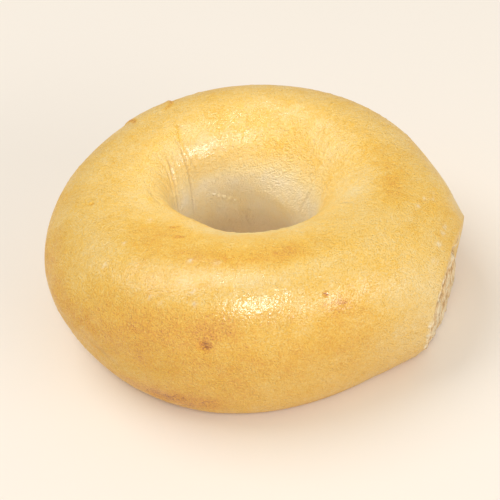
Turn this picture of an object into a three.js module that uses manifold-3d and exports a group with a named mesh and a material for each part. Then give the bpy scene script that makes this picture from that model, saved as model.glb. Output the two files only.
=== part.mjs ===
// A plain bagel lying on its flat base: one ring of dough, boiled and baked in one piece.
// It was baked against a neighbour, so one side swells into a stump that ends in a flat torn face.
// Millimetres, +Z up. The origin is on the base plane under the middle of the ring's outer box,
// and the torn face looks towards +X, a little towards -Y and a little down.
import * as THREE from 'three';
import { ParametricGeometry } from 'three/addons/geometries/ParametricGeometry.js';
import { mergeVertices } from 'three/addons/utils/BufferGeometryUtils.js';
import Module from 'manifold-3d';

// Driving dimensions.
const RING_RADIUS = 57.5; // outside of the ring, at its waist
const BASE_SINK = 2.5; // how much of the round underside is pressed flat

// Sizes that vary round the ring: their mean, then a fuller side, then two opposite fuller sides.
// The angles are azimuths in degrees, anticlockwise from +X.
const THROAT = { mean: 18.6, lean: 0.19, leanAt: 80, oval: 0.17, ovalAt: -48 }; // the hole's narrowest radius
const HEIGHT = { mean: 42.8, lean: 0.053, leanAt: 230, oval: 0.048, ovalAt: 79 }; // crown above the base
const WAIST = { mean: 0.5, lean: 0.125, leanAt: 211, oval: 0, ovalAt: 0 }; // widest level, share of the height
// How square each quarter of the section is: 2 is an ellipse, and more is squarer. The shoulder and the belly
// are the upper and the lower quarter outside, and the mouth and the foot are the same inside the hole.
const SHOULDER_FULLNESS = { mean: 2.13, lean: 0, leanAt: 0, oval: 0, ovalAt: 0 };
const MOUTH_FULLNESS = { mean: 2.4, lean: 0.22, leanAt: 178, oval: 0.28, ovalAt: -25 };
const BELLY_FULLNESS = { mean: 2.26, lean: 0.08, leanAt: -35, oval: 0.19, ovalAt: 79 };
const FOOT_FULLNESS = { mean: 3.2, lean: 0.25, leanAt: 100, oval: 0, ovalAt: 0 };

// The stump: how far the side swells out, over what half width and half height, and at what level.
const STUMP = { azimuth: -29.5, reach: 13.5, halfWidth: 22.5, halfHeight: 20, level: 9 };
// The torn face across the end of the stump: its distance from the ring's axis, and how far it looks down.
const TORN_FACE = { azimuth: -24, distance: 53.4, lookDown: 12 };

const RING_STEPS = 96;
const SECTION_STEPS = 40;
const SEAM_GAP = 1e-4; // points closer than this are one point

const FULL_TURN = 2 * Math.PI;
const { degToRad } = THREE.MathUtils;
const wasm = await Module();
wasm.setup();

// The value of one of the sizes above at an azimuth.
function sizeAt(azimuth, { mean, lean, leanAt, oval, ovalAt }) {
  const side = lean * Math.cos(azimuth - degToRad(leanAt));
  const ends = oval * Math.cos(2 * (azimuth - degToRad(ovalAt)));
  return mean * (1 + side + ends);
}

// Superellipse term: the sine or cosine of the section angle, pushed out towards a square by fullness.
function full(value, fullness) {
  return Math.sign(value) * Math.abs(value) ** (2 / fullness);
}

// How far the stump pushes the crust out at an azimuth and a height above the base.
function stumpReach(azimuth, z) {
  const turned = azimuth - degToRad(STUMP.azimuth);
  const across = RING_RADIUS * Math.atan2(Math.sin(turned), Math.cos(turned));
  const up = z - STUMP.level;
  return STUMP.reach * Math.exp(-((across / STUMP.halfWidth) ** 2) - (up / STUMP.halfHeight) ** 2);
}

// A point of the crust. ringShare runs anticlockwise round the ring, and sectionShare round the section:
// 0 faces outwards, a quarter faces down, a half faces the hole and three quarters faces up.
function crustPoint(sectionShare, ringShare, target) {
  const azimuth = FULL_TURN * ringShare;
  const turn = -FULL_TURN * sectionShare;
  const [outward, upward] = [Math.cos(turn), Math.sin(turn)];

  const throat = sizeAt(azimuth, THROAT);
  const halfThickness = (RING_RADIUS - throat) / 2;
  const height = sizeAt(azimuth, HEIGHT);
  const waist = height * sizeAt(azimuth, WAIST);
  const upperFullness = outward > 0 ? SHOULDER_FULLNESS : MOUTH_FULLNESS;
  const lowerFullness = outward > 0 ? BELLY_FULLNESS : FOOT_FULLNESS;
  const fullness = sizeAt(azimuth, upward > 0 ? upperFullness : lowerFullness);
  const rise = upward > 0 ? height - waist : waist + BASE_SINK;

  const z = Math.max(0, waist + rise * full(upward, fullness));
  const stump = stumpReach(azimuth, z) * Math.max(0, outward);
  const radius = throat + halfThickness * (1 + full(outward, fullness)) + stump;
  target.set(radius * Math.cos(azimuth), radius * Math.sin(azimuth), z);
}

// The solid that a three.js geometry's faces enclose.
function solidOf(geometry) {
  geometry.deleteAttribute('normal');
  geometry.deleteAttribute('uv');
  const merged = mergeVertices(geometry, SEAM_GAP);
  const vertProperties = new Float32Array(merged.attributes.position.array);
  const triVerts = new Uint32Array(merged.index.array);
  return new wasm.Manifold(new wasm.Mesh({ numProp: 3, vertProperties, triVerts }));
}

function geometryOf(solid) {
  const { vertProperties, triVerts } = solid.getMesh();
  const geometry = new THREE.BufferGeometry();
  geometry.setAttribute('position', new THREE.BufferAttribute(vertProperties, 3));
  geometry.setIndex(new THREE.BufferAttribute(triVerts, 1));
  geometry.computeVertexNormals();
  return geometry;
}

// A block whose near side lies on the torn face, to cut the end off the stump.
function tearBlock() {
  const block = new THREE.BoxGeometry(RING_RADIUS, 2 * RING_RADIUS, 2 * RING_RADIUS);
  block.translate(TORN_FACE.distance + RING_RADIUS / 2, 0, 0);
  block.rotateY(degToRad(TORN_FACE.lookDown));
  block.rotateZ(degToRad(TORN_FACE.azimuth));
  return block;
}

// Moves the geometry so that its outer box is centred on the Z axis.
function centreOnAxis(geometry) {
  geometry.computeBoundingBox();
  const middle = geometry.boundingBox.getCenter(new THREE.Vector3());
  geometry.translate(-middle.x, -middle.y, 0);
}

const ring = new ParametricGeometry(crustPoint, SECTION_STEPS, RING_STEPS);
const crust = geometryOf(solidOf(ring).subtract(solidOf(tearBlock())));
centreOnAxis(crust);

const bagel = new THREE.Mesh(
  crust,
  new THREE.MeshStandardMaterial({ color: 0xe3ae5b, roughness: 0.45, metalness: 0 }),
);
bagel.name = 'bagel';

const part = new THREE.Group();
part.add(bagel);
export default part;
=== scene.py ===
# The looks of a plain bagel that lies on its flat base.
# The CAD solid gives the shape. Here it gets a fine skin with the wrinkles, blisters, pits and creases
# of a boiled and baked crust, the shredded crumb of the side that was torn from its neighbour,
# and one procedural material for both. The skin's lengths are in millimetres until its mesh is made,
# and the CAD solid, the lights and the camera are in metres.
import math

import bmesh
import bpy
import numpy as np
from mathutils import Matrix, Vector
from mathutils.bvhtree import BVHTree


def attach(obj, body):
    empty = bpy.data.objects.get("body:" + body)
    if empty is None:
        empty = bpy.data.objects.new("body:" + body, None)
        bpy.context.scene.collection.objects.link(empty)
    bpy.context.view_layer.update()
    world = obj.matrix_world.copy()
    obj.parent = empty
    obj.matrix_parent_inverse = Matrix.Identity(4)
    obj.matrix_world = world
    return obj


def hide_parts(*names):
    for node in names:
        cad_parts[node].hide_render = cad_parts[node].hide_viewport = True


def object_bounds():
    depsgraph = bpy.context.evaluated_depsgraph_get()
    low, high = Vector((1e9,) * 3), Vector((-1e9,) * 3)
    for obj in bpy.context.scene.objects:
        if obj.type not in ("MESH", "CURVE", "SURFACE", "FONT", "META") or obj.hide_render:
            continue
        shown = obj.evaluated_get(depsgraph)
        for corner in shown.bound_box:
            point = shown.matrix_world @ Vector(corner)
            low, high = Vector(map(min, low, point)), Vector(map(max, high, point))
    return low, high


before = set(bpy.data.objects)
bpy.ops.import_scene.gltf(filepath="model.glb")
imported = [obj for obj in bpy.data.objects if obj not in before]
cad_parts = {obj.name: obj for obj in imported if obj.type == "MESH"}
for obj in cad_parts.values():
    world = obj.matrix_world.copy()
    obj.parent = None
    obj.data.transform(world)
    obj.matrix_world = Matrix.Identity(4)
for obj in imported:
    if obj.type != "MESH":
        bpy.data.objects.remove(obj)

CAD_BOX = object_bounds()
MM = 0.001

# The grid that the skin is made of.
RING_STEPS = 760
SECTION_STEPS = 340
SECTION_MIDDLE = 0.46  # height of the section's middle, as a share of the crown's

# How the CAD solid's facets are rounded off.
QUAD_BEND, QUAD_SKEW = 0.6, 0.7  # how bent and how skewed two triangles may be and still join into a quad
ROUNDING_LEVELS = 3
SHARP_EDGE = math.radians(35)  # a CAD edge sharper than this is the rim of the torn face
SAME_PLACE = 1e-6  # points closer than this are one point


# --- noise -----------------------------------------------------------------------------------------

# Factors that scramble the corners of the noise's lattice into numbers that look random.
X_PRIME, Y_PRIME, Z_PRIME, SEED_PRIME, MIX_PRIME = 73856093, 19349663, 83492791, 7919, 1274126177
LOW_16_BITS, LOW_32_BITS = 0xFFFF, 0xFFFFFFFF
SEED_SHIFT = 17.3  # how many cells each seed moves the noise along
OCTAVE_TURN = np.array(Matrix.Rotation(0.9, 3, Vector((0.6, 0.5, 0.4))))  # from each octave to the next


def corner_value(corner, seed):
    """A number from -1 to 1 that depends only on a lattice corner's place and the seed."""
    x, y, z = np.moveaxis(corner, -1, 0)
    mixed = (x * X_PRIME) ^ (y * Y_PRIME) ^ (z * Z_PRIME) ^ (seed * SEED_PRIME)
    mixed = ((mixed ^ (mixed >> 13)) * MIX_PRIME) & LOW_32_BITS
    return ((mixed ^ (mixed >> 16)) & LOW_16_BITS) / (LOW_16_BITS / 2) - 1


def value_noise(points, size, seed):
    """Smooth noise from -1 to 1, with lumps about size across."""
    cell = points / size + SEED_SHIFT * seed
    corner = np.floor(cell).astype(np.int64)
    part = cell - corner
    ease = part ** 3 * (part * (part * 6 - 15) + 10)
    total = np.zeros(points.shape[:-1])
    for step in np.ndindex(2, 2, 2):
        total += corner_value(corner + step, seed) * np.prod(np.where(step, ease, 1 - ease), axis=-1)
    return total


def fractal(points, size, seed, octaves=3, fade=0.5):
    """Noise with finer and fainter noise on top."""
    total, weight = 0, 0
    for octave in range(octaves):
        total = total + fade ** octave * value_noise(points, size / 2 ** octave, seed + octave)
        weight += fade ** octave
        points = points @ OCTAVE_TURN
    return total / weight


def smoothstep(low, high, value):
    """0 below low and 1 above high, with a smooth rise between them."""
    share = np.clip((value - low) / (high - low), 0, 1)
    return share * share * (3 - 2 * share)


# --- the skin --------------------------------------------------------------------------------------

def rounded_solid(node):
    """A BVH tree of the CAD solid with its facets rounded off and the rim of its torn face kept sharp."""
    shape = bmesh.new()
    shape.from_mesh(node.data)
    bmesh.ops.remove_doubles(shape, verts=shape.verts, dist=SAME_PLACE)
    bmesh.ops.join_triangles(
        shape, faces=shape.faces, angle_face_threshold=QUAD_BEND, angle_shape_threshold=QUAD_SKEW
    )
    crease = shape.edges.layers.float.new("crease_edge")
    for edge in shape.edges:
        if edge.calc_face_angle(0.0) > SHARP_EDGE:
            edge[crease] = 1.0
    mesh = bpy.data.meshes.new("rounded_solid")
    shape.to_mesh(mesh)
    shape.free()
    solid = bpy.data.objects.new("rounded_solid", mesh)
    bpy.context.scene.collection.objects.link(solid)
    rounding = solid.modifiers.new("round", "SUBSURF")
    rounding.levels = ROUNDING_LEVELS
    tree = BVHTree.FromObject(solid, bpy.context.evaluated_depsgraph_get())
    bpy.data.objects.remove(solid)
    bpy.data.meshes.remove(mesh)
    return tree


def torn_plane(node):
    """Normal and distance from the origin of the torn face, the CAD solid's largest flat side."""
    base_facing = -0.9  # a face that looks down more than this is part of the base
    sides = {}
    for face in node.data.polygons:
        if face.normal.z > base_facing:
            key = tuple(round(c, 2) for c in face.normal)
            sides.setdefault(key, []).append(face)
    faces = max(sides.values(), key=lambda side: sum(face.area for face in side))
    normal = np.mean([face.normal for face in faces], axis=0)
    normal /= np.linalg.norm(normal)
    return normal, float(normal @ faces[0].center) / MM


class Skin:
    """The bagel's surface as a closed grid. Rows follow the azimuth, anticlockwise from +X. Columns follow
    the section angle: 0 faces outwards, 90 is the crown, 180 the wall of the hole and 270 the base."""

    def __init__(self, node):
        tree = rounded_solid(node)
        self.azimuth = np.linspace(0, 360, RING_STEPS, endpoint=False)[:, None]
        self.angle = np.linspace(0, 360, SECTION_STEPS, endpoint=False)[None, :]
        rows = [self.section(tree, math.radians(a)) for a in self.azimuth[:, 0]]
        self.points = np.array(rows) / MM
        self.normals = grid_normals(self.points)
        self.torn_normal, distance = torn_plane(node)
        self.depth = distance - self.points @ self.torn_normal  # how far behind the torn face

    def section(self, tree, azimuth):
        """The points round the section at an azimuth, seen from the section's middle."""
        out = Vector((math.cos(azimuth), math.sin(azimuth), 0))
        up = Vector((0, 0, 1))
        level = up * SECTION_MIDDLE * CAD_BOX[1][2]
        hole = tree.ray_cast(level, out)[0]
        one_metre_out = level + out
        outside = tree.ray_cast(one_metre_out, -out)[0]
        middle = (hole + outside) / 2
        angles = np.radians(self.angle[0])
        return [tree.ray_cast(middle, out * math.cos(a) + up * math.sin(a))[0] for a in angles]

    def at(self, azimuth, angle):
        """The skin's point at an azimuth and a section angle, in degrees."""
        row = round(azimuth / 360 * RING_STEPS) % RING_STEPS
        column = round(angle / 360 * SECTION_STEPS) % SECTION_STEPS
        return self.points[row, column]

    def patch(self, azimuth, angle, wide, tall):
        """A soft patch, 1 in the middle and fading to 0: its place and half sizes in degrees."""
        across = (self.azimuth - azimuth + 180) % 360 - 180
        along = (self.angle - angle + 180) % 360 - 180
        return np.exp(-((across / wide) ** 2) - (along / tall) ** 2)

    def band(self, low, high, fade):
        """1 between two section angles, fading to 0 over fade degrees outside them."""
        middle, half = (low + high) / 2, (high - low) / 2
        away = np.abs((self.angle - middle + 180) % 360 - 180)
        return 1 - smoothstep(half, half + fade, away)

    def near(self, azimuth, angle):
        """Each point's distance from a place on the skin."""
        return np.linalg.norm(self.points - self.at(azimuth, angle), axis=-1)

    def near_line(self, places):
        """Each point's distance from a line through places on the skin, and its share of the way along."""
        return near_path(self.points, np.array([self.at(*place) for place in places]))


def near_path(points, path):
    """Distance of points from a path, and how far along it the nearest place is, from 0 to 1."""
    nearest = np.full(points.shape[:-1], np.inf)
    share = np.zeros_like(nearest)
    for k, (start, end) in enumerate(zip(path, path[1:])):
        run = end - start
        t = np.clip((points - start) @ run / (run @ run), 0, 1)
        away = np.linalg.norm(points - start - t[..., None] * run, axis=-1)
        closer = away < nearest
        nearest[closer] = away[closer]
        share[closer] = (k + t[closer]) / (len(path) - 1)
    return nearest, share


def grid_normals(points):
    """The outward normal at each point of the grid."""
    round_ring = np.roll(points, -1, 0) - np.roll(points, 1, 0)
    round_section = np.roll(points, -1, 1) - np.roll(points, 1, 1)
    normals = np.cross(round_ring, round_section)
    return normals / np.linalg.norm(normals, axis=-1, keepdims=True)


# --- relief of the crust ---------------------------------------------------------------------------

# Unevenness of the crust: height, size of the lumps, noise seed and octaves.
UNEVENNESS = [(0.30, 30, 1, 2), (0.10, 9, 4, 3), (0.03, 2.2, 8, 3)]
# Small bumps and dents: how many, seed of the draw, radius and height. They are on the upper crust,
# from one section angle to another and fading out past them.
DIMPLES = [(3000, 51, 0.5, 0.10), (1800, 52, 0.45, -0.12)]
UPPER_CRUST = (-20, 135, 20)
# Creases: places along them as (azimuth, section angle), then depth and half width.
CREASES = [
    ([(134, 124), (137, 130), (140, 138), (142.5, 146), (144, 155), (144.5, 166), (144, 178)], 0.42, 0.42),
    ([(139, 126), (143, 134), (146, 142), (148, 150), (149, 160), (149, 170)], 0.20, 0.40),
    ([(124, 121), (125, 130), (126.5, 139), (127.5, 150), (128, 160), (128.5, 172), (130, 192)], 0.36, 0.36),
    ([(121, 128), (122, 140), (121, 152)], 0.15, 0.40),
    ([(163, 123), (172, 126), (181, 128), (190, 128)], 0.18, 0.60),
    ([(18, 153), (21, 165), (27, 177), (33, 190)], 0.16, 0.50),
    ([(328, 106), (327, 111), (326, 116)], 0.25, 0.60),
    ([(92, 204), (93, 213), (90, 220)], 0.12, 0.40),
    ([(118, 107), (117, 111), (115, 114)], 0.20, 0.50),
    ([(213, 5), (218, 0), (223, -6)], 0.20, 0.90),
]
CREASE_RIM, CREASE_RIM_AWAY = 0.3, 2.4  # its height in depths, and its distance in half widths
# Pits and blisters: azimuth, section angle, radius and height. A pit's height is below 0.
SPOTS = [
    (251.5, 28, 1.5, -0.55),
    (252.5, 33, 0.8, 0.20),
    (286.5, 49, 0.6, -0.40),
    (287.5, 58, 0.9, -0.22),
    (112, 181, 0.50, 0.50),
    (109, 184, 0.40, 0.40),
    (105.5, 187.5, 0.50, 0.55),
    (102, 190, 0.40, 0.40),
    (98.5, 193.5, 0.50, 0.45),
    (91, 203, 0.5, -0.25),
    (88, 210, 0.5, -0.25),
    (178, 82, 0.7, -0.30),
]
PIT_RIM, PIT_RIM_AWAY, PIT_RIM_WIDTH = 0.3, 1.7, 0.6  # height in depths, and the others in radii
# Broad swellings: azimuth, section angle, half width, half height and how far they stand out.
SWELLINGS = [
    (135, 166, 6, 20, 0.9),
    (110, 130, 52, 28, 1.4),
    (25, 45, 38, 32, 0.8),
    (350, 36, 12, 18, 1.7),
    (192, 15, 18, 30, 0.5),
]
FLAP = (109.5, 126.5, 48, 76, 0.5)  # lapped edge of the dough: azimuths, section angles, thickness
# Fine wrinkles down into the hole: their height and spacing, and where they are strong, as patches
# of azimuth, section angle, half width, half height and strength.
STRETCH_HEIGHT, STRETCH_SPACING = 0.11, 2.6
STRETCHED = [(155, 145, 30, 50, 0.9), (15, 140, 35, 60, 0.5)]


def creases(skin):
    """Grooves with a soft rim on both sides, shallower towards their ends."""
    total = np.zeros(skin.points.shape[:2])
    for places, depth, width in CREASES:
        away, share = skin.near_line(places)
        depth_here = depth * np.sin(np.pi * np.clip(share, 0.03, 0.97)) ** 0.6
        rim_away = away - CREASE_RIM_AWAY * width
        total -= depth_here * np.exp(-((away / width) ** 2))
        total += CREASE_RIM * depth_here * np.exp(-((rim_away / width) ** 2))
    return total


def spots(skin):
    """Blisters, and pits with a soft rim."""
    total = 0
    for azimuth, angle, radius, height in SPOTS:
        away = skin.near(azimuth, angle)
        total = total + height * np.exp(-((away / radius) ** 2))
        if height < 0:
            rim_away = (away - PIT_RIM_AWAY * radius) / (PIT_RIM_WIDTH * radius)
            total = total - PIT_RIM * height * np.exp(-(rim_away ** 2))
    return total


def scattered(skin, count, seed, radius, height, keep):
    """Many small bumps, or pits where height is below 0, at random places where keep is near 1."""
    draw = np.random.default_rng(seed)
    total = np.zeros(skin.points.shape[:2])
    reach = 2.5  # radii
    steps_round = np.arange(-12, 13)  # grid steps that hold a bump out to its reach
    for _ in range(count):
        row = draw.integers(RING_STEPS)
        column = draw.integers(SECTION_STEPS)
        size = radius * draw.uniform(0.6, 1.5)
        tall = height * draw.uniform(0.4, 1.3)
        if draw.uniform() > keep[0, column]:
            continue
        rows = (row + steps_round) % RING_STEPS
        columns = (column + steps_round) % SECTION_STEPS
        window = np.ix_(rows, columns)
        away = np.linalg.norm(skin.points[window] - skin.points[row, column], axis=-1) / size
        total[window] += tall * np.exp(-(away ** 2)) * (away < reach)
    return total


def stretch_lines(skin):
    """Fine wrinkles that run down into the hole, deepest on its left and right walls."""
    ring_radius, section_length = 60, 6  # the noise is drawn out along the section, so its lumps are lines
    turn = np.radians(skin.azimuth + 2 * np.sin(np.radians(3 * skin.angle)))  # they sway a little
    along = skin.angle / 360 * section_length + np.zeros_like(turn)
    place = np.stack([ring_radius * np.cos(turn), ring_radius * np.sin(turn), along], axis=-1)
    lines = fractal(place, STRETCH_SPACING, 31, octaves=2)
    strength = 0.3 + sum(strong * skin.patch(*patch) for *patch, strong in STRETCHED)
    return STRETCH_HEIGHT * lines * strength * skin.band(118, 200, 20)


def flap(skin):
    """A step in the crust where one end of the dough laps over the other."""
    start, end, low, high, thickness = FLAP
    along = smoothstep(start, start + 1, skin.azimuth) * (1 - smoothstep(end - 1, end, skin.azimuth))
    return thickness * along * skin.band(low, high, 12)


def swellings(skin):
    return sum(out * skin.patch(*patch) for *patch, out in SWELLINGS)


def crust_relief(skin):
    """How far the crust stands out from the rounded CAD solid."""
    relief = sum(height * fractal(skin.points, *noise) for height, *noise in UNEVENNESS)
    relief = relief + creases(skin) + spots(skin) + stretch_lines(skin) + flap(skin) + swellings(skin)
    upper = skin.band(*UPPER_CRUST)
    for *bumps, height in DIMPLES:
        relief = relief + scattered(skin, *bumps, height, upper)
    return relief


# --- the torn side ---------------------------------------------------------------------------------

CRUMB_RELIEF = 1.2  # how far the torn crumb stands out or sinks in
RIDGES, SHREDS, LUMPS = 0.55, 0.35, 0.5  # each one's share of that
RAGGED = [(0.5, 4, 61), (0.35, 1.4, 65)]  # how ragged the edge is: depth, size and noise seed
PULLED_DEPTH = 3.0  # how far behind the torn face the crust still moves with it
# The tear on the flat face, as places across and up the face in millimetres.
TEAR_MIDDLE, TEAR_HALF_SIZE = (-7.0, 13.5), (20.5, 12.5)
TEAR_FURROW = ([(12, 12), (6, 17), (0, 22), (-5, 27)], 1.5, 1.1)  # places, depth and half width
TEAR_LUMPS = [(1, 9, 7, 7, 0.7), (12, 13, 6, 7, -1.3), (-21, 4, 7, 5, -1.6)]  # place, half sizes, height


def on_face(skin):
    """Each point's place on the torn face: across it, and up it from the base."""
    across = np.cross([0, 0, 1.0], skin.torn_normal)
    across /= np.linalg.norm(across)
    up = np.cross(skin.torn_normal, across)
    return skin.points @ across, skin.points[..., 2] / up[2]


def torn_share(skin):
    """1 on the torn face and 0 on the crust, with a ragged edge."""
    ragged = sum(depth * fractal(skin.points, size, seed) for depth, size, seed in RAGGED)
    face = 1 - smoothstep(0.0, 0.4, skin.depth + ragged - 0.3)
    across, up = on_face(skin)
    (middle_across, middle_up), (half_across, half_up) = TEAR_MIDDLE, TEAR_HALF_SIZE
    away = np.hypot((across - middle_across) / half_across, (up - middle_up) / half_up)
    return face * (1 - smoothstep(0.97, 1.03, away + 0.06 * ragged))


def crumb_relief(skin):
    """Shredded crumb: ragged ridges drawn out along the tear, with hollows between them."""
    across, up = on_face(skin)
    place = np.stack([across + 0.25 * up, 0.2 * up, 0.3 * skin.depth], axis=-1)
    ridges = 1 - 2 * np.abs(fractal(place, 2.6, 71, octaves=3))
    shreds = fractal(place, 1.3, 75, octaves=2)
    lumps = fractal(skin.points, 9, 80, octaves=2)
    return RIDGES * ridges + SHREDS * shreds + LUMPS * lumps


def tear_shape(skin):
    """The tear's large shape: a furrow across it, a lump below that, and two edges that draw back."""
    across, up = on_face(skin)
    places, depth, width = TEAR_FURROW
    flat = np.stack([across, up], axis=-1)
    away, _ = near_path(flat, np.array(places, dtype=float))
    total = -depth * np.exp(-((away / width) ** 2))
    for middle_across, middle_up, wide, tall, out in TEAR_LUMPS:
        from_middle = ((across - middle_across) / wide) ** 2 + ((up - middle_up) / tall) ** 2
        total = total + out * np.exp(-from_middle)
    return total


# --- colour fields ---------------------------------------------------------------------------------

# How baked the crust is, from 0 for cream to 1 for brown, with painted shade low on the front and
# painted sheen at the far mouth of the hole. Bands go all the way round, on the wall of the hole and on
# the base: section angles, fade, and how much they add. Then come clouds of noise, as how much they add,
# size and seed, and patches as azimuth, section angle, half width, half height, and how much they add.
MEAN_TOAST = 0.45
TOAST_BANDS = [(172, 222, 40, -0.34), (240, 305, 12, 0.20)]
TOAST_CLOUDS = [(0.06, 22, 91), (0.07, 7, 95), (0.06, 2.4, 99)]
# Paler crust at the far mouth of the hole, partly painted sheen.
PALE_AND_SHEEN_MOUTH = (125, 128, 45, 14, -0.10)  # the far mouth of the hole
TOAST_AND_SHADE_PATCHES = [
    (218, 103, 24, 13, 0.16),
    (258, 83, 38, 10, 0.20),
    (265, 118, 55, 9, -0.14),
    (232, 62, 12, 8, 0.06),
    (250, 38, 18, 12, 0.13),
    # darker low on the front-left: toast and painted shade
    (208, 22, 42, 30, 0.14),
    (240, -30, 13, 11, 0.34),
    (225, -25, 16, 10, 0.10),
    # darker low on the front: toast and painted shade
    (262, 8, 50, 40, 0.14),
    (340, 78, 12, 16, 0.14),
    (335, 48, 9, 12, 0.08),
    (8, 84, 24, 12, 0.07),
    (85, 12, 85, 38, 0.12),
    (292, 38, 6, 10, 0.10),
    (305, 100, 14, 12, -0.04),
    (312, 0, 12, 34, -0.20),
    (355, 10, 14, 28, -0.14),
    (268, 67, 40, 6, -0.05),
    (165, 78, 16, 20, -0.04),
    (136, 166, 6, 18, -0.10),
    (345, 108, 26, 22, -0.09),
    (25, 135, 24, 20, -0.05),
]
# Brown streaks and specks: places, half width, and how much they add.
STREAKS = [
    ([(126.5, 75), (125.5, 68), (125, 56)], 0.7, 0.34),
    ([(115, 84), (112, 80), (110, 71), (110, 58)], 0.6, 0.28),
    ([(226, 110), (222, 107)], 0.5, 0.26),
    ([(235, 99), (231, 98)], 0.5, 0.28),
    ([(118, 110), (121, 118), (122.5, 125), (124, 133)], 0.6, 0.14),
    ([(178, 83), (178, 80)], 0.5, 0.25),
    ([(251.5, 28), (252.5, 26)], 1.3, 0.30),
    ([(286.5, 49), (287, 48)], 0.5, 0.50),
    ([(284, 42), (292, 38)], 0.5, 0.12),
]
# Pale flecks of dried glaze and small blisters, and from (322, 23) on painted glints of gloss on the crust
# by the torn side: azimuth, section angle and radius.
FLECKS_AND_GLINTS = [
    (207, 107, 0.9),
    (213, 80, 0.8),
    (245, 80, 0.9),
    (255, 79, 0.8),
    (214, 60, 1.0),
    (225, 57, 0.9),
    (229, 54, 1.2),
    (235, 53, 1.0),
    (239, 50, 0.8),
    (248, 60, 0.8),
    (249, 53, 0.8),
    # painted glints of gloss by the torn side
    (322, 23, 0.9),
    (327.5, 27, 1.0),
    (332, 28, 1.0),
    (334.5, 28, 1.1),
    (336, 54.5, 0.8),
    (340, 51, 0.7),
    (341.5, 44.5, 0.8),
    (344, 46, 0.7),
    (348, 45, 0.7),
]


# Glossy patches: azimuth, section angle, half width, half height, and how much gloss they add.
MEAN_GLAZE = 0.12
GLAZED = [(260, 50, 38, 24, 0.6), (124, 139, 36, 18, 0.9), (0, 100, 90, 40, 0.15)]
# How strong the painted shade is in the creases, low in the hole and low on the outside, and at its deepest.
SHADE_IN_CREASES, SHADE_LOW_IN_HOLE, SHADE_LOW_OUTSIDE, DEEPEST_SHADE = 1.1, 0.55, 0.32, 0.6


def flecks_and_glints(skin):
    """The pale flecks and painted glints, each broken up by fine noise."""
    total = sum(np.exp(-((skin.near(azimuth, angle) / radius) ** 2)) for azimuth, angle, radius in FLECKS_AND_GLINTS)
    return total * smoothstep(-0.3, 0.5, fractal(skin.points, 0.9, 111))


def pale_and_glints(skin, torn):
    """Where the crust is pale: on its flecks and painted glints and, here and there, on the lip of the torn
    face.
    """
    lip = 4 * torn * (1 - torn) * smoothstep(-0.1, 0.5, fractal(skin.points, 2.2, 107))
    return np.clip(lip + 0.6 * flecks_and_glints(skin), 0, 1)


def toast_shade_and_sheen(skin):
    """How baked the crust is, from 0 for cream to 1 for brown, with painted shade low on the front and
    painted sheen at the far mouth of the hole.
    """
    level = MEAN_TOAST + sum(more * skin.band(*band) for *band, more in TOAST_BANDS)
    *mouth, more = PALE_AND_SHEEN_MOUTH
    level = level + more * skin.patch(*mouth)
    uneven = 1 + 0.3 * fractal(skin.points, 6, 87)
    level = level + sum(more * uneven * skin.patch(*patch) for *patch, more in TOAST_AND_SHADE_PATCHES)
    for places, width, more in STREAKS:
        away, _ = skin.near_line(places)
        level = level + more * np.exp(-((away / width) ** 2))
    level = level + sum(more * fractal(skin.points, size, seed) for more, size, seed in TOAST_CLOUDS)
    return np.clip(level, 0, 1)


def painted_shade(skin):
    """Painted shade, as a brown on the crust: in the creases, low in the hole and low on the outside."""
    # painted shade low in the hole, and below it painted shade low on the outside
    hole = smoothstep(190, 222, skin.angle) * (1 - smoothstep(270, 300, skin.angle))
    outside = skin.band(290, 340, 70) * (0.3 + 0.7 * skin.patch(310, 315, 65, 200))
    shade_share = -SHADE_IN_CREASES * np.minimum(creases(skin), 0) + SHADE_LOW_IN_HOLE * hole + SHADE_LOW_OUTSIDE * outside
    return np.clip(shade_share, 0, DEEPEST_SHADE)


def glaze(skin):
    """How glossy the crust is: the crown's front and the far wall of the hole most of all."""
    gloss = MEAN_GLAZE + sum(more * skin.patch(*patch) for *patch, more in GLAZED)
    return np.clip(gloss + 0.3 * fractal(skin.points, 4, 103), 0, 1)


# --- making the mesh -------------------------------------------------------------------------------

BASE_FADE = 1.6  # the relief fades out below this height, so that the base stays flat


def raised(skin, torn, crumb):
    """The skin's points with the relief of the crust and of the torn side."""
    off_base = smoothstep(0.0, BASE_FADE, skin.points[..., 2])
    out = skin.normals * (crust_relief(skin) * (1 - torn) * off_base)[..., None]
    shape = tear_shape(skin) * (1 - smoothstep(0.0, PULLED_DEPTH, skin.depth))
    tear = skin.torn_normal * ((CRUMB_RELIEF * crumb * torn + shape) * off_base)[..., None]
    points = skin.points + out + tear
    points[..., 2] = np.maximum(points[..., 2], 0)
    return points


def skin_mesh(name, points, fields):
    """A closed mesh of quads over the grid, in metres, with a number per point for each field."""
    ids = np.arange(RING_STEPS * SECTION_STEPS).reshape(RING_STEPS, SECTION_STEPS)
    after = np.roll(ids, -1, 0)
    quads = np.stack([ids, after, np.roll(after, -1, 1), np.roll(ids, -1, 1)], axis=-1).reshape(-1, 4)
    mesh = bpy.data.meshes.new(name)
    mesh.from_pydata((points.reshape(-1, 3) * MM).tolist(), [], quads.tolist())
    for field, values in fields.items():
        attribute = mesh.attributes.new(field, "FLOAT", "POINT")
        attribute.data.foreach_set("value", values.astype(np.float32).ravel())
    row, column = np.indices((RING_STEPS, SECTION_STEPS))
    corners = [(row, column), (row + 1, column), (row + 1, column + 1), (row, column + 1)]
    places = np.stack([np.stack(corner, axis=-1) for corner in corners], axis=2)
    chart = mesh.uv_layers.new(name="OFBake")
    chart.data.foreach_set("uv", (places / (RING_STEPS, SECTION_STEPS)).astype(np.float32).ravel())
    mesh.shade_smooth()
    return mesh


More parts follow.
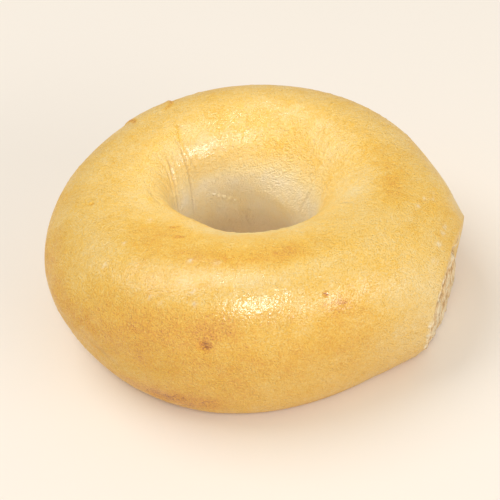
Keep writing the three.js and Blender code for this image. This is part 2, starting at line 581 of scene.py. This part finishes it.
def make_bagel(node):
    """The bagel's skin over the CAD node, with the fields that its material reads."""
    skin = Skin(node)
    torn = torn_share(skin)
    crumb = crumb_relief(skin)
    fields = {
        "toast_shade_and_sheen": toast_shade_and_sheen(skin),
        "torn": torn,
        # pale flecks, the pale lip of the torn face, and painted glints
        "pale_and_glints": pale_and_glints(skin, torn),
        # painted shade, kept off the torn face
        "painted_shade": painted_shade(skin) * (1 - torn),
        # painted shade in the hollows of the torn crumb
        "crumb_hollow_shade": np.clip(0.5 - 0.5 * crumb, 0, 1),
        "glaze": glaze(skin) * (1 - torn),
    }
    mesh = skin_mesh("baked_bagel", raised(skin, torn, crumb), fields)
    bagel = bpy.data.objects.new("baked_bagel", mesh)
    bpy.context.scene.collection.objects.link(bagel)
    return bagel


# --- material --------------------------------------------------------------------------------------

class Nodes:
    """Short names for adding and wiring shader nodes."""

    def __init__(self, material):
        material.use_nodes = True
        self.tree = material.node_tree
        self.tree.nodes.clear()

    def add(self, kind, inputs=(), **settings):
        """A new node, with each input either linked to a socket or set to a value."""
        node = self.tree.nodes.new(kind)
        for key, value in settings.items():
            setattr(node, key, value)
        for key, value in dict(inputs).items():
            if isinstance(value, bpy.types.NodeSocket):
                self.tree.links.new(value, node.inputs[key])
            else:
                node.inputs[key].default_value = value
        return node

    def field(self, name):
        return self.add("ShaderNodeAttribute", attribute_name=name).outputs["Fac"]

    def colour(self, value):
        node = self.add("ShaderNodeRGB")
        node.outputs[0].default_value = (*value, 1)
        return node.outputs[0]

    def noise(self, place, size, detail=2.0, roughness=0.5):
        """Noise from 0 to 1 with lumps about size millimetres across."""
        settings = {"Vector": place, "Scale": 1 / (size * MM), "Detail": detail, "Roughness": roughness}
        return self.add("ShaderNodeTexNoise", settings).outputs["Fac"]

    def math(self, operation, first, second=0.0, third=0.0):
        return self.add(
            "ShaderNodeMath", {0: first, 1: second, 2: third}, operation=operation
        ).outputs[0]

    def ramp(self, value, stops):
        node = self.add("ShaderNodeValToRGB", {"Fac": value})
        elements = node.color_ramp.elements
        while len(elements) < len(stops):
            elements.new(0.5)
        for element, (place, colour) in zip(elements, stops):
            element.position = place
            element.color = (*colour, 1)
        return node.outputs["Color"]

    def mix(self, share, first, second):
        node = self.add("ShaderNodeMix", data_type="RGBA")
        for socket, value in zip((node.inputs[0], node.inputs[6], node.inputs[7]), (share, first, second)):
            self.tree.links.new(value, socket)
        return node.outputs[2]


CRUST_COLOURS = [
    (0.00, (0.90, 0.80, 0.60)),
    (0.22, (0.92, 0.72, 0.34)),
    (0.48, (0.90, 0.565, 0.12)),
    (0.58, (0.87, 0.50, 0.06)),
    (0.72, (0.81, 0.40, 0.045)),
    (0.85, (0.71, 0.30, 0.04)),
    (1.00, (0.38, 0.13, 0.03)),
]
# The crumb, from its ridges to the painted shade in its hollows.
CRUMB_COLOURS = [
    (0.15, (0.86, 0.72, 0.48)),
    (0.40, (0.80, 0.58, 0.31)),
    (0.60, (0.63, 0.39, 0.17)),
    (0.85, (0.42, 0.21, 0.07)),
]
# the colour of the pale flecks and lip, and of the painted glints
PALE_AND_GLINT_COLOUR = (0.92, 0.82, 0.62)
# the brown of the painted shade
PAINTED_SHADE_COLOUR = (0.50, 0.31, 0.14)

# Sizes of the material's noises, in millimetres.
MOTTLE, GRAIN, PEBBLE, DIMPLE, BLOTCH, FIBRE = 1.3, 0.45, 1.1, 0.62, 6.0, 0.8
FIBRE_SQUASH = (1, 1, 0.2)  # below 1 draws the fibres out, here upwards
# How much the mottle and the grain change the toast: it is multiplied by their sum and EVEN_SHARE.
EVEN_SHARE, MOTTLE_SHARE, GRAIN_SHARE = 0.25, 0.45, 1.1
FIBRE_CONTRAST, FIBRE_SHIFT = 2.0, -0.97  # how much the fibres darken the crumb, and their middle
LEAST_ROUGH, BLOTCH_ROUGH, TORN_ROUGH, MOST_ROUGH = 0.36, 0.20, 0.45, 0.95
# Bumps: heights against the pebble's, and how deep the crust's and the gloss's go in millimetres.
GRAIN_HEIGHT, FIBRE_HEIGHT = 1.4, 2.0
BUMP_DEPTH, GLOSS_BUMP_DEPTH = 0.40, 0.14
CRUST_IOR = 1.45
GLOSS_ROUGHNESS, GLOSS_IOR = 0.20, 1.9


def crust_colour(nodes, place, grain):
    mottle = nodes.noise(place, MOTTLE, detail=3.0, roughness=0.65)
    uneven = nodes.math("MULTIPLY_ADD", mottle, MOTTLE_SHARE, EVEN_SHARE)
    uneven = nodes.math("MULTIPLY_ADD", grain, GRAIN_SHARE, uneven)
    crust = nodes.ramp(nodes.math("MULTIPLY", nodes.field("toast_shade_and_sheen"), uneven), CRUST_COLOURS)
    # painted shade in the creases, low in the hole and low on the outside
    return nodes.mix(nodes.field("painted_shade"), crust, nodes.colour(PAINTED_SHADE_COLOUR))


def crumb_colour(nodes, fibre):
    fibrous = nodes.math("MULTIPLY_ADD", fibre, FIBRE_CONTRAST, FIBRE_SHIFT)
    # darker in the crumb's hollows, as painted shade
    return nodes.ramp(nodes.math("ADD", nodes.field("crumb_hollow_shade"), fibrous), CRUMB_COLOURS)


def surface_roughness(nodes, place, torn):
    rough = nodes.math("MULTIPLY_ADD", nodes.noise(place, BLOTCH, detail=3.0), BLOTCH_ROUGH, LEAST_ROUGH)
    rough = nodes.math("MULTIPLY_ADD", torn, TORN_ROUGH, rough)
    return nodes.math("MINIMUM", rough, MOST_ROUGH)


def bumpy_normal(nodes, height, depth):
    bump = nodes.add("ShaderNodeBump", {"Height": height, "Strength": 1.0, "Distance": depth * MM})
    return bump.outputs["Normal"]


def surface_height(nodes, place, grain, torn, fibre):
    pebble = nodes.noise(place, PEBBLE)
    crust = nodes.math("MULTIPLY_ADD", grain, GRAIN_HEIGHT, pebble)
    return nodes.math("MULTIPLY_ADD", nodes.math("MULTIPLY", torn, fibre), FIBRE_HEIGHT, crust)


def bagel_material():
    material = bpy.data.materials.new("bagel_crust")
    nodes = Nodes(material)
    place = nodes.add("ShaderNodeTexCoord").outputs["Object"]
    drawn_out = nodes.add("ShaderNodeMapping", {"Vector": place, "Scale": FIBRE_SQUASH})
    grain = nodes.noise(place, GRAIN, detail=1.0, roughness=0.6)
    fibre = nodes.noise(drawn_out.outputs["Vector"], FIBRE, detail=3.0, roughness=0.65)
    torn = nodes.field("torn")

    colour = nodes.mix(torn, crust_colour(nodes, place, grain), crumb_colour(nodes, fibre))
    # pale flecks, the pale lip of the torn face, and painted glints
    colour = nodes.mix(nodes.field("pale_and_glints"), colour, nodes.colour(PALE_AND_GLINT_COLOUR))
    height = surface_height(nodes, place, grain, torn, fibre)
    dimple = nodes.noise(place, DIMPLE, detail=1.0)
    shader = nodes.add(
        "ShaderNodeBsdfPrincipled",
        {
            "Base Color": colour,
            "Roughness": surface_roughness(nodes, place, torn),
            "Normal": bumpy_normal(nodes, height, BUMP_DEPTH),
            "Coat Normal": bumpy_normal(nodes, dimple, GLOSS_BUMP_DEPTH),
            "IOR": CRUST_IOR,
            "Coat Weight": nodes.field("glaze"),
            "Coat Roughness": GLOSS_ROUGHNESS,
            "Coat IOR": GLOSS_IOR,
        },
    )
    nodes.add("ShaderNodeOutputMaterial", {"Surface": shader.outputs["BSDF"]})
    return material


# --- floor, light and camera -----------------------------------------------------------------------

FLOOR_SIZE, FLOOR_COLOUR, FLOOR_ROUGHNESS = 6.0, (0.92, 0.85, 0.755), 0.85


def plain_material(name, colour, roughness):
    material = bpy.data.materials.new(name)
    shader = Nodes(material)
    surface = shader.add("ShaderNodeBsdfPrincipled", {"Base Color": (*colour, 1), "Roughness": roughness})
    shader.add("ShaderNodeOutputMaterial", {"Surface": surface.outputs["BSDF"]})
    return material


def make_floor():
    bpy.ops.mesh.primitive_plane_add(size=FLOOR_SIZE, location=(0, 0, 0))
    floor = bpy.context.object
    floor.name = "floor"
    floor.data.materials.append(plain_material("pale_floor", FLOOR_COLOUR, FLOOR_ROUGHNESS))


def aim(thing, place, target, roll=0.0):
    """Puts a camera or light at a place and turns it to look at a target."""
    thing.location = place
    look = (Vector(target) - Vector(place)).to_track_quat("-Z", "Y").to_matrix()
    thing.rotation_euler = (look @ Matrix.Rotation(roll, 3, "Z")).to_euler()


def direction(azimuth, elevation):
    """The unit vector towards an azimuth and an elevation in degrees."""
    across = math.cos(math.radians(elevation))
    turn = math.radians(azimuth)
    return Vector((across * math.cos(turn), across * math.sin(turn), math.sin(math.radians(elevation))))


# Softboxes: azimuth, elevation, distance, width, height and power in watts.
SOFTBOXES = {
    "key_light": (-89, 45, 1.7, 0.38, 0.38, 8.5),
    "side_light": (-46, 20, 1.7, 1.6, 0.3, 9.5),
    "top_light": (152, 62, 1.9, 1.5, 1.5, 14.5),
}
# A soft spotlight straight above the hole: height above the table, width of its beam in degrees,
# radius and power in watts.
HOLE_LIGHT = (0.6, 7.0, 0.03, 12.0)
AMBIENT_COLOUR, AMBIENT_STRENGTH = (1.0, 0.97, 0.93), 0.455


def add_lamp(name, kind, power):
    lamp = bpy.data.lights.new(name, kind)
    lamp.energy = power
    holder = bpy.data.objects.new(name, lamp)
    bpy.context.scene.collection.objects.link(holder)
    return holder


def make_softboxes():
    target = Vector((0, 0, 0.5 * CAD_BOX[1][2]))
    for name, (azimuth, elevation, distance, width, height, power) in SOFTBOXES.items():
        softbox = add_lamp(name, "AREA", power)
        softbox.data.shape = "ELLIPSE"
        softbox.data.size = width
        softbox.data.size_y = height
        aim(softbox, target + direction(azimuth, elevation) * distance, target)


def make_hole_light():
    height, beam, radius, power = HOLE_LIGHT
    spotlight = add_lamp("hole_light", "SPOT", power)
    spotlight.data.spot_size = math.radians(beam)
    spotlight.data.spot_blend = 1.0
    spotlight.data.shadow_soft_size = radius
    spotlight.location = (0, 0, height)


def make_ambient_light():
    world = bpy.data.worlds.new("studio")
    world.use_nodes = True
    background = world.node_tree.nodes["Background"].inputs
    background["Color"].default_value = (*AMBIENT_COLOUR, 1)
    background["Strength"].default_value = AMBIENT_STRENGTH
    bpy.context.scene.world = world


CAMERA_AZIMUTH, CAMERA_ELEVATION = -90, 39.1
CAMERA_DISTANCE = 0.477
CAMERA_ROLL = math.radians(-10.8)
CAMERA_LENS = 122.4
AIM_OFFSET = Vector((-0.0018, -0.0062, -0.0020))  # from the middle of the CAD box


def make_camera():
    low, high = Vector(CAD_BOX[0]), Vector(CAD_BOX[1])
    target = (low + high) / 2 + AIM_OFFSET
    lens = bpy.data.cameras.new("camera")
    lens.lens = CAMERA_LENS
    camera = bpy.data.objects.new("camera", lens)
    bpy.context.scene.collection.objects.link(camera)
    away = direction(CAMERA_AZIMUTH, CAMERA_ELEVATION) * CAMERA_DISTANCE
    aim(camera, target + away, target, CAMERA_ROLL)
    bpy.context.scene.camera = camera


# --- the scene -------------------------------------------------------------------------------------

bagel = make_bagel(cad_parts["bagel"])
bagel.data.materials.append(bagel_material())
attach(bagel, "root")
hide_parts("bagel")
make_floor()
make_softboxes()
make_hole_light()
make_ambient_light()
make_camera()
bpy.context.scene.view_settings.view_transform = "Standard"
